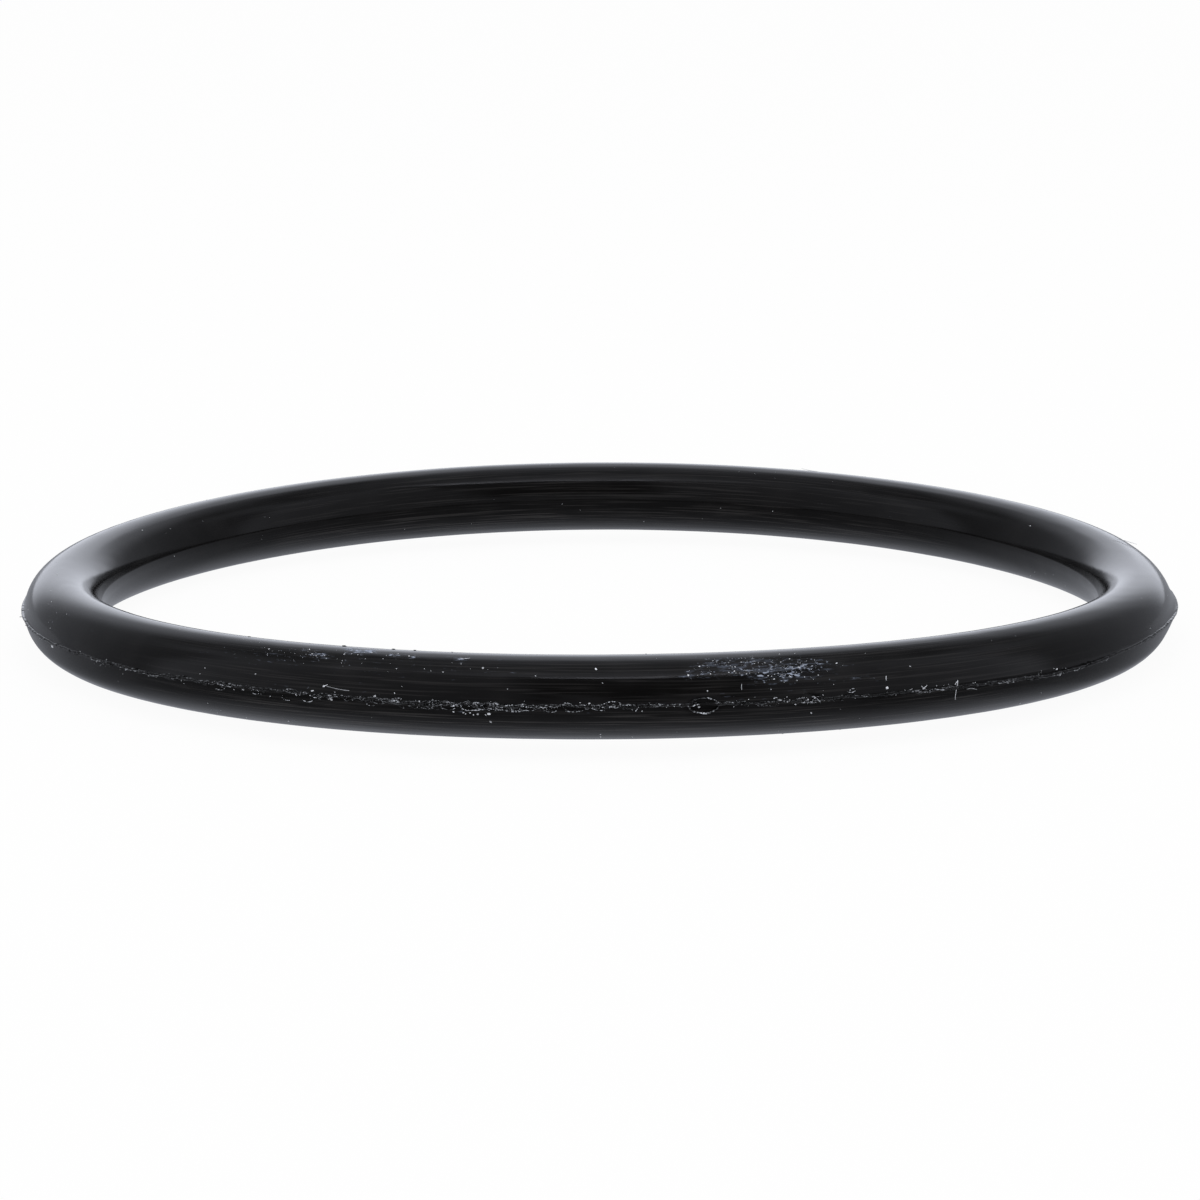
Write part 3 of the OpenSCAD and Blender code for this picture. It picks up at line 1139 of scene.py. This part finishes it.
class ORING_OT_blister(bpy.types.Operator):
    """Add the torn oval rim of the burst blister"""

    bl_idname = "oring.blister"
    bl_label = "Burst Blister"

    def execute(self, context):
        """The rim is a tube bent to an oval on the outer crest.

        Round the oval, azimuth and height are the cosine and sine of the turn. The tube swells and shrinks
        at random, stands out most at the bottom, and has one row of its points sunk as a root in the rubber.
        Its upper right arc and its lower arc are painted pale, as painted highlights.
        """
        ring = context.scene.oring_ring
        rng = np.random.default_rng(context.scene.oring_flash.seed + 3)
        turn = np.arange(RIM_STEPS) / RIM_STEPS
        q = 2.0 * math.pi * turn
        azimuth = ring.blister_azimuth + ring.blister_width / 2.0 * np.cos(q) / crest_radius(ring)
        wander = 0.006 * MM * wobble(rng, turn, 14)
        height = ring.blister_level + ring.blister_height / 2.0 * np.sin(q) + wander
        out = 0.045 * MM + 0.015 * MM * wobble(rng, turn, 9) + 0.03 * MM * np.maximum(0.0, -np.sin(q))
        lift = np.arcsin(height / ring.section_r)
        paths = section_point(ring, azimuth, lift, out)[None]
        thick = 0.014 * MM * (1.0 + 0.5 * wobble(rng, turn, 20))[None]
        lean = outward(azimuth, lift)[None]
        points = tube_points(looped(paths), looped(lean), looped(thick), RIM_SIDES)[0, 1:-1]
        root = np.where(np.arange(RIM_SIDES) == ROOT_ROW, -ROOT_DEPTH, 0.0)
        points = points + root[None, :, None] * lean[0][:, None]
        piece = new_mesh_object("burst_blister", points.reshape(-1, 3), grid_faces(RIM_STEPS, RIM_SIDES))
        # Painted highlights: the rim is pale on its lower arc and its upper right arc, where it catches the
        # light.
        lower = np.exp(-((wrapped(q + 0.5 * math.pi) / 0.8) ** 2))
        upper = np.exp(-((wrapped(q - 0.75) / 0.55) ** 2))
        pale = (0.04 + np.maximum(0.75 * lower, upper))[:, None] * np.ones((1, RIM_SIDES))
        finish_torn(piece, context, pale)
        return {"FINISHED"}


def aim(location, target, roll):
    """Matrix of a camera or lamp at location that looks at target, turned by roll about its line of sight."""
    forward = (target - location).normalized()
    right = forward.cross(Vector((0.0, 0.0, 1.0))).normalized()
    up = right.cross(forward)
    turned_right = right * math.cos(roll) + up * math.sin(roll)
    turned_up = up * math.cos(roll) - right * math.sin(roll)
    columns = Matrix((turned_right, turned_up, -forward)).transposed()
    return Matrix.Translation(location) @ columns.to_4x4()


def not_seen_as_light(sh):
    """1 on camera, glossy and transmission rays, and 0 on the rays that light the object."""
    path = sh.node("ShaderNodeLightPath")
    seen = sh.math("MAXIMUM", path.outputs["Is Camera Ray"], path.outputs["Is Glossy Ray"])
    return sh.math("MAXIMUM", seen, path.outputs["Is Transmission Ray"]), path.outputs["Is Glossy Ray"]


# How far right of the middle the hood stands, what the front below the panel and the rim of the back sheet
# add in reflections, and how many times as dim as the rest of the room its two sides are
HOOD_RIGHT = 0.12
FRONT_ADDS = -0.25
RIM_ADDS = 0.35
SIDES_DIMMER = 1.35


def backdrop_world(stage):
    """World that shows white to the eye. Reflections show the same white, open to a dim room in places.

    The gaps are the two back corners beside the white sheet and the dark hood in front, above the lens. Over
    the hood's lit edge starts a bright ceiling panel, and behind the panel the room is dim again. Each place
    is a product of ramps on the three parts of the direction, with x to the right, y to the back and z up.
    """
    world = bpy.data.worlds.new("white surroundings")
    world.use_nodes = True
    sh = Shader(world.node_tree)
    seen, glossy = not_seen_as_light(sh)
    x, y, z = sh.parts(sh.node("ShaderNodeTexCoord").outputs["Generated"])
    wide = sh.math("ABSOLUTE", x)
    beside = sh.math("ABSOLUTE", sh.math("ADD", x, -HOOD_RIGHT))
    ahead = sh.ramp(y, 0.0, -0.1)

    beside_sheet = sh.product(sh.ramp(y, 0.98, 0.86), sh.ramp(wide, 0.06, 0.2))
    beside_sheet = sh.math("MAXIMUM", sh.ramp(y, 0.95, 0.8), beside_sheet)
    under_room = sh.product(sh.ramp(z, 0.82, 0.55), sh.ramp(wide, 0.10, 0.25))
    under_room = sh.math("MAXIMUM", sh.ramp(z, 0.75, 0.4), under_room)
    corner = sh.product(sh.ramp(y, 0.0, 0.2), beside_sheet, under_room)
    hood = sh.product(sh.ramp(beside, 0.42, 0.27), ahead, sh.ramp(z, 0.28, 0.42), sh.ramp(z, 0.905, 0.893))
    panel = sh.product(sh.ramp(z, 0.893, 0.905), sh.ramp(y, -0.05, -0.40))
    tube = sh.product(sh.ramp(z, 0.900, 0.905), sh.ramp(z, 0.917, 0.912), sh.ramp(beside, 0.34, 0.20), ahead)
    front = sh.product(sh.ramp(y, -0.5, -0.9), sh.ramp(z, 0.95, 0.75))
    rim = sh.product(sh.ramp(z, 0.80, 0.62), sh.ramp(y, 0.3, 0.6), sh.ramp(wide, 0.6, 0.3))
    sides = sh.product(sh.ramp(wide, 0.08, 0.22), sh.ramp(wide, 0.72, 0.50))
    sides = sh.product(sides, sh.ramp(z, 0.55, 0.70), sh.ramp(y, 0.0, 0.3), sh.ramp(z, 0.95, 0.78))
    room = sh.product(sh.ramp(z, 0.70, 0.86), sh.ramp(y, -0.05, 0.10))
    room = sh.math("MULTIPLY_ADD", sides, SIDES_DIMMER, room)

    light = 1.0
    for place, adds in (
        (corner, -stage.gap), (hood, -stage.hood), (front, FRONT_ADDS), (rim, RIM_ADDS),
        (room, -stage.dome), (panel, stage.panel), (tube, stage.tube),
    ):
        light = sh.math("MULTIPLY_ADD", place, adds, light)
    light = sh.math("MULTIPLY_ADD", glossy, sh.math("SUBTRACT", light, 1.0), 1.0)
    strength = sh.math("MULTIPLY_ADD", seen, sh.math("SUBTRACT", light, stage.fill), stage.fill)
    background = sh.node("ShaderNodeBackground")
    sh.join(sh.mix_colour(glossy, WHITE, opaque(stage.cool)), background.inputs["Color"])
    sh.join(strength, background.inputs["Strength"])
    sh.surface(background, "ShaderNodeOutputWorld")
    return world


# The floor's two greys, and how much brighter the rubber mirrors it steeply, and at a flat slant outside and
# inside the ring. Between the two, round the ring's outer edge, the floor stays dim in reflections as a
# painted contact shadow
FLOOR_GREYS = ((0.93, 0.93, 0.93, 1.0), (0.95, 0.95, 0.95, 1.0))
FLOOR_STEEP = 0.61
FLOOR_OUTSIDE = 0.16
FLOOR_INSIDE = 0.24


def floor_material(name, stage):
    """Pale floor that shows white to the eye and still takes a soft shadow.

    Reflections show it as a lit sheet, brightest from right above and dim at a flat slant. How bright it is
    there goes by the slant, from 0 right above to 1 along the floor, and by how far the spot lies from the
    ring's axis. In a band from under the ring's outer half to just past its outer edge it stays dim at a flat
    slant: a painted contact shadow, seen only in reflections.
    """
    material, sh = new_material(name)
    place = sh.node("ShaderNodeTexCoord").outputs["Object"]
    tone = sh.noise(place, 60.0, 2.0, 0.5)
    matt = sh.node("ShaderNodeBsdfPrincipled")
    sh.join(sh.mix_colour(tone, *FLOOR_GREYS), matt.inputs["Base Color"])
    matt.inputs["Roughness"].default_value = 0.9
    matt.inputs["Specular IOR Level"].default_value = 0.0

    seen, glossy = not_seen_as_light(sh)
    weight = sh.node("ShaderNodeLayerWeight")
    weight.inputs["Blend"].default_value = 0.5
    slant = weight.outputs["Facing"]
    x, y = sh.parts(place)[:2]
    spread = sh.math("SQRT", sh.math("MULTIPLY_ADD", x, x, sh.math("MULTIPLY", y, y)))
    # Painted contact shadow in reflections: at a flat slant the floor is brighter only inside 12.9 mm and
    # outside 14 mm from the axis, so the band round the ring's outer edge stays dim.
    outside = sh.product(sh.ramp(slant, 0.48, 0.92), sh.ramp(spread, 13.0 * MM, 14.0 * MM))
    inside = sh.product(sh.ramp(slant, 0.10, 0.40), sh.ramp(spread, 13.5 * MM, 12.9 * MM))
    mirrored = stage.floor_aside
    for share, adds in (
        (sh.ramp(slant, 0.48, 0.12), FLOOR_STEEP), (sh.ramp(slant, 0.10, 0.0), stage.floor_below),
        (outside, FLOOR_OUTSIDE), (inside, FLOOR_INSIDE),
    ):
        mirrored = sh.math("MULTIPLY_ADD", share, adds, mirrored)

    white = sh.node("ShaderNodeEmission")
    sh.join(sh.mix_colour(glossy, WHITE, opaque(stage.cool)), white.inputs["Color"])
    strength = sh.math("MULTIPLY_ADD", glossy, sh.math("SUBTRACT", mirrored, 1.0), 1.0)
    sh.join(strength, white.inputs["Strength"])
    both = sh.node("ShaderNodeMixShader")
    share = sh.math("MULTIPLY_ADD", glossy, 1.0 - stage.floor_white, stage.floor_white)
    sh.join(sh.math("MULTIPLY", seen, share), both.inputs["Fac"])
    sh.join(matt.outputs[0], both.inputs[1])
    sh.join(white.outputs[0], both.inputs[2])
    sh.surface(both)
    return material


# The soft lamp's width and place, and the nearest and farthest that the camera sees, in metres
LAMP_SIZE = 0.14
LAMP_PLACE = (0.0, -0.03, 0.16)
NEAREST = 0.005
FARTHEST = 10.0


class ORING_OT_stage(bpy.types.Operator):
    """Add the floor, the soft lamp, the white surroundings and the camera"""

    bl_idname = "oring.stage"
    bl_label = "Stage"

    def execute(self, context):
        """Sets the camera at its distance and elevation from the ring's centre, and the floor under it."""
        scene = context.scene
        stage = scene.oring_stage
        ring = scene.oring_ring
        half = stage.floor_size / 2.0
        low = NODE_LOW[2]
        corners = np.array([[-half, -half, low], [half, -half, low], [half, half, low], [-half, half, low]])
        floor = new_mesh_object("floor", corners, np.array([[0, 1, 2, 3]]), smooth=False)
        floor.data.materials.append(shared_material("pale floor", floor_material, stage))

        target = Vector((0.0, 0.0, ring.saddle))
        back = Vector((0.0, -math.cos(stage.elevation), math.sin(stage.elevation)))
        lens = bpy.data.cameras.new("camera")
        lens.lens = stage.focal
        lens.sensor_width = 36.0
        lens.shift_y = stage.shift
        lens.clip_start = NEAREST
        lens.clip_end = FARTHEST
        camera = bpy.data.objects.new("camera", lens)
        camera.matrix_world = aim(target + back * stage.distance, target, stage.roll)
        scene.collection.objects.link(camera)
        scene.camera = camera

        lamp = bpy.data.lights.new("soft lamp", "AREA")
        lamp.shape = "DISK"
        lamp.size = LAMP_SIZE
        lamp.energy = stage.key
        holder = bpy.data.objects.new("soft lamp", lamp)
        holder.matrix_world = aim(Vector(LAMP_PLACE), target, 0.0)
        holder.visible_glossy = False
        scene.collection.objects.link(holder)

        scene.world = backdrop_world(stage)
        scene.view_settings.view_transform = "Standard"
        return {"FINISHED"}


class ORING_PT_panel(bpy.types.Panel):
    """Lists the pieces of the ring in the sidebar."""

    bl_idname = "ORING_PT_panel"
    bl_label = "O-Ring"
    bl_space_type = "VIEW_3D"
    bl_region_type = "UI"
    bl_category = "O-Ring"

    def draw(self, context):
        """Draws a button for each piece, and the sizes under it."""
        for operator in OPERATORS:
            self.layout.operator(operator.bl_idname, text=operator.bl_label)
        for group_name, group in GROUPS.items():
            box = self.layout.box()
            for size_name in group.__annotations__:
                box.prop(getattr(context.scene, group_name), size_name)


OPERATORS = (
    ORING_OT_body,
    ORING_OT_lip,
    ORING_OT_scraps,
    ORING_OT_threads,
    ORING_OT_curls,
    ORING_OT_blister,
    ORING_OT_dust,
    ORING_OT_fibres,
    ORING_OT_stage,
)


def register():
    """Registers the classes and hangs each group of sizes on the scene."""
    for group_name, group in GROUPS.items():
        bpy.utils.register_class(group)
        setattr(bpy.types.Scene, group_name, PointerProperty(type=group))
    for cls in (*OPERATORS, ORING_PT_panel):
        bpy.utils.register_class(cls)


def unregister():
    """Takes everything away again, in the reverse order."""
    for cls in reversed((*OPERATORS, ORING_PT_panel)):
        bpy.utils.unregister_class(cls)
    for group_name, group in reversed(GROUPS.items()):
        delattr(bpy.types.Scene, group_name)
        bpy.utils.unregister_class(group)


def main():
    register()
    bpy.ops.oring.stage()
    bpy.ops.oring.body()
    bpy.ops.oring.lip()
    bpy.ops.oring.scraps()
    bpy.ops.oring.threads()
    bpy.ops.oring.curls()
    bpy.ops.oring.blister()
    bpy.ops.oring.dust()
    bpy.ops.oring.fibres()


if __name__ == "__main__":
    main()
